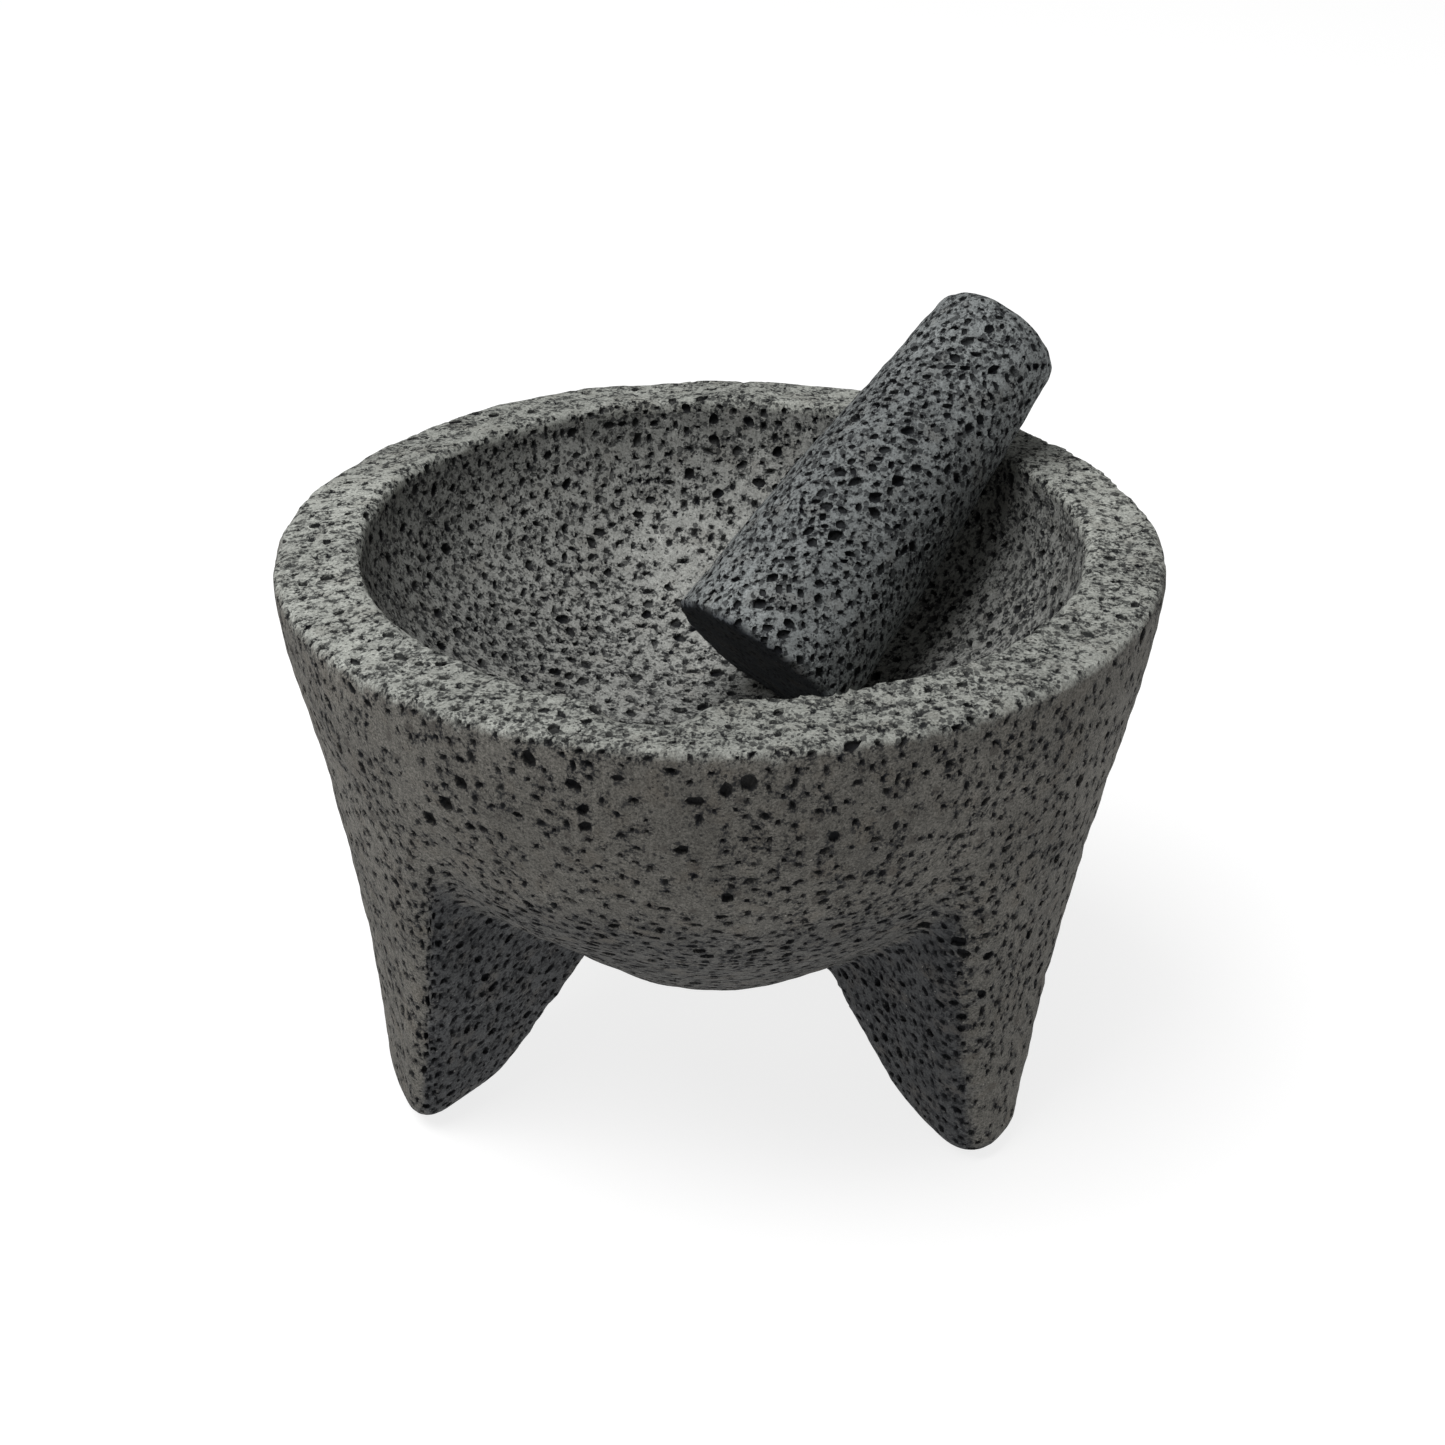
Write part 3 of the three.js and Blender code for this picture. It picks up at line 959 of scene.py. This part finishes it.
def basalt(name, outside, inner, rim, shade, pore_shade_colour, fleck, small_pores):
    """Pitted, pick-dressed basalt. outside, inner, rim and shade are the colours of the four zones:
    the lighter inner and rim colours are partly painted light, and shade is painted shade. The pore
    colour is painted shade inside the pores, and small_pores sets how many of the finest pores are
    open."""
    material = bpy.data.materials.new(name)
    material.use_nodes = True
    tree = material.node_tree
    tree.nodes.clear()
    place = add(tree, "ShaderNodeTexCoord", output="Object")
    bent = bent_place(tree, place, 1.1 * MM, 1.1 * MM)
    pore, hollow, flat, shaded, painted_light_and_wear_fac = [
        add(tree, ATTRIBUTE, output="Fac", attribute_name=mask)
        for mask in ("pore", "hollow", "rim", "painted_shade_zone", "painted_light_and_wear")
    ]

    # The zones: the hollow and rim are paler than the outside, which dust has browned, partly from
    # wear and partly as painted light on the surfaces that face up to the lamp. The sides of the
    # legs and the belly are the darkest, which is painted shade.
    ground = add(tree, MIX, {0: hollow, 6: linear(outside), 7: linear(inner)}, 2, data_type="RGBA")
    ground = add(tree, MIX, {0: flat, 6: ground, 7: linear(rim)}, 2, data_type="RGBA")
    # Painted shade: the sides of the legs, the belly and the pestle's wide face take the shade
    # colour.
    ground = add(tree, MIX, {0: shaded, 6: ground, 7: linear(shade)}, 2, data_type="RGBA")
    open_skin = add(tree, MATH, {0: hollow, 1: flat}, operation="MAXIMUM")
    open_skin = add(tree, MATH, {0: open_skin, 1: shaded}, operation="MAXIMUM")

    # Light and dark: slow drifts, blotches, the upright strokes of the pick, and the sandy grain,
    # which wear has smoothed inside.
    drift = drifting(tree, place, 28 * MM, 3.0, 0.5, 0.84, 1.14)
    blotch = drifting(tree, place, 2.4 * MM, 3.0, 0.6, 0.8, 1.18)
    grain = drifting(tree, place, 0.55 * MM, 3.0, 0.8, -0.72, 0.72)
    contrast = add(tree, RANGE, {"Value": open_skin, "To Min": 1.0, "To Max": 0.62})
    sand = add(tree, MATH, {0: grain, 1: contrast, 2: 1.0}, operation="MULTIPLY_ADD")
    # Painted light: this lightens the sides of the outside, the lower side of the pestle and the
    # worn patch of the hollow, which is partly wear.
    painted_light_and_wear_gain = add(tree, RANGE, {"Value": painted_light_and_wear_fac, "To Min": 0.85, "To Max": 1.28})
    upright = add(tree, VECTOR_MATH, {0: place, 1: (1.0, 1.0, 0.1)}, operation="MULTIPLY")
    strokes = drifting(tree, upright, 0.9 * MM, 2.0, 0.6, 0.9, 1.1)
    tone = add(tree, MATH, {0: drift, 1: blotch}, operation="MULTIPLY")
    tone = add(tree, MATH, {0: tone, 1: strokes}, operation="MULTIPLY")
    tone = add(tree, MATH, {0: tone, 1: sand}, operation="MULTIPLY")
    tone = add(tree, MATH, {0: tone, 1: painted_light_and_wear_gain}, operation="MULTIPLY")
    grey = add(tree, "ShaderNodeCombineColor", {"Red": tone, "Green": tone, "Blue": tone})
    stone = add(tree, MIX, {0: 1.0, 6: ground, 7: grey}, 2, data_type="RGBA", blend_type="MULTIPLY")

    # Bruises that the pick has closed, rusty clouds, and pale grains of feldspar.
    bruise = spots(tree, bent, 5 * MM, -0.15, 0.42, open_skin)
    bruise = add(tree, MATH, {0: bruise, 1: 0.45}, operation="MULTIPLY")
    stone = add(tree, MIX, {0: bruise, 6: stone, 7: linear("#332e2b")}, 2, data_type="RGBA")
    rust = drifting(tree, place, 7 * MM, 2.0, 0.5, -0.3, 0.24)
    rust = add(tree, MATH, {0: rust, 1: 0.0}, operation="MAXIMUM")
    stone = add(tree, MIX, {0: rust, 6: stone, 7: linear("#5e564c")}, 2, data_type="RGBA")
    flecks = spots(tree, bent, 1.1 * MM, -0.25, 0.2)
    flecks = add(tree, MATH, {0: flecks, 1: 0.5}, operation="MULTIPLY")
    stone = add(tree, MIX, {0: flecks, 6: stone, 7: linear(fleck)}, 2, data_type="RGBA")

    # Painted shade in the net's pores, with a ragged edge, and in the finest ones. Those are a third
    # of a millimetre across on the stone, and are drawn at up to a millimetre, so that the view
    # shows them.
    ragged = drifting(tree, place, 0.9 * MM, 3.0, 0.65, -0.36, 0.36)
    edge = add(tree, MATH, {0: pore, 1: ragged}, operation="ADD")
    deep = add(tree, RANGE, {"Value": edge, "From Min": 0.12, "From Max": 0.44})
    shut = add(tree, RANGE, {"Value": open_skin, "To Min": 0.2, "To Max": 0.0})
    shut = add(tree, MATH, {0: painted_light_and_wear_fac, 1: 0.12, 2: shut}, operation="MULTIPLY_ADD")
    small = spots(tree, bent, 1.7 * MM, -0.1, 0.66 * small_pores, shut)
    tiny = spots(tree, bent, 0.95 * MM, -0.2, 0.55 * small_pores, shut)
    fine = add(tree, MATH, {0: small, 1: tiny}, operation="MAXIMUM")
    faint = add(tree, MATH, {0: fine, 1: 0.8}, operation="MULTIPLY")
    hole = add(tree, MATH, {0: faint, 1: deep}, operation="MAXIMUM")
    vary = drifting(tree, place, 3.5 * MM, 1.0, 0.5, 0.8, 1.0)
    hole = add(tree, MATH, {0: hole, 1: vary}, operation="MULTIPLY")
    colour = add(tree, MIX, {0: hole, 6: stone, 7: linear(pore_shade_colour)}, 2, data_type="RGBA")

    # The grain stands up and the finest pores sink in. Broken stone is matt, with hardly a glint.
    raised = add(tree, MATH, {0: grain, 1: 0.15}, operation="MULTIPLY")
    height = add(tree, MATH, {0: raised, 1: fine}, operation="SUBTRACT")
    normal = add(tree, "ShaderNodeBump", {"Height": height, "Strength": 0.8, "Distance": 0.35 * MM})
    surface = add(tree, "ShaderNodeBsdfPrincipled", {
        "Base Color": colour, "Roughness": 0.9, "Specular IOR Level": 0.25, "Normal": normal,
    })
    add(tree, "ShaderNodeOutputMaterial", {"Surface": surface}, is_active_output=True)
    return material


# %% The two finishes
# The mortar was cut with a pick: a warm, dusty grey with a broken, matt skin, paler in the hollow
# and on the rim partly where it is worn and partly as painted light, with painted shade on the sides
# of the legs and the belly.
bowl.data.materials.append(basalt(
    "pick_dressed_basalt", outside="#62605b", inner="#9a9b97", rim="#9fa19b", shade="#434445",
    pore_shade_colour="#101216", fleck="#b4b2aa", small_pores=0.9,
))
# The pestle was rubbed on another stone: one cool grey all over, closely pitted, with painted shade
# on its wide face and painted light on the side next to it.
pestle.data.materials.append(basalt(
    "ground_basalt", outside="#858989", inner="#858989", rim="#858989", shade="#3a3d42",
    pore_shade_colour="#0e1015", fleck="#b0b3b3", small_pores=0.95,
))
for piece in (bowl, pestle):
    print(piece.active_material.name, len(piece.active_material.node_tree.nodes), "nodes")

# %% [markdown]
# ## Joining the frame
# Each stone rides on its own body, so that the pestle can be lifted out of the bowl, and replaces
# the CAD solid that it was made from. Parenting would move it too, but would not say which solid it
# replaces.

# %% Tell the frame about the two stones
for piece, node in ((bowl, "bowl"), (pestle, "pestle")):
    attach(piece, node)
    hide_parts(node)

# %% [markdown]
# ## Floor and light
# A white sweep, one broad soft light overhead, and a white world as the fill. The sweep glows a
# little, like a light table, so that the shadow under the stone stays pale. More lamps could fill
# the shadow instead, but each one would flatten the pores as well.

# %% Floor and lights
FLOOR_SIZE = 8.0  # metres
FLOOR_GLOW = 0.8
LAMP_PLACE, LAMP_TARGET = (-0.6, -0.55, 2.1), (0, 0, 0.08)
LAMP_SIZE, LAMP_POWER = 1.5, 45  # metres, watts
WORLD_STRENGTH = 0.2


def make_floor():
    """A flat square, far wider than the view."""
    half = FLOOR_SIZE / 2
    corners = [(-half, -half, 0), (half, -half, 0), (half, half, 0), (-half, half, 0)]
    mesh = bpy.data.meshes.new("floor")
    mesh.from_pydata(corners, [], [(0, 1, 2, 3)])
    floor = bpy.data.objects.new("floor", mesh)
    bpy.context.scene.collection.objects.link(floor)
    paint = bpy.data.materials.new("white_sweep")
    paint.use_nodes = True
    shader = paint.node_tree.nodes["Principled BSDF"]
    shader.inputs["Base Color"].default_value = linear("#9c9c9c")
    shader.inputs["Roughness"].default_value = 0.9
    shader.inputs["Specular IOR Level"].default_value = 0
    shader.inputs["Emission Color"].default_value = linear("#ffffff")
    shader.inputs["Emission Strength"].default_value = FLOOR_GLOW
    mesh.materials.append(paint)


def area_light(name, place, target, size, power):
    """A square lamp at place that faces target."""
    data = bpy.data.lights.new(name, "AREA")
    data.shape = "SQUARE"
    data.size = size
    data.energy = power
    lamp = bpy.data.objects.new(name, data)
    bpy.context.scene.collection.objects.link(lamp)
    turn = (Vector(place) - Vector(target)).to_track_quat("Z", "Y")
    lamp.matrix_world = Matrix.Translation(place) @ turn.to_matrix().to_4x4()
    print(name, power, "W")


make_floor()
area_light("overhead_softbox", LAMP_PLACE, LAMP_TARGET, LAMP_SIZE, LAMP_POWER)
world = bpy.data.worlds.new("white_world")
world.use_nodes = True
background = world.node_tree.nodes["Background"]
background.inputs["Color"].default_value = (1, 1, 1, 1)
background.inputs["Strength"].default_value = WORLD_STRENGTH
bpy.context.scene.world = world
bpy.context.scene.view_settings.view_transform = "Standard"
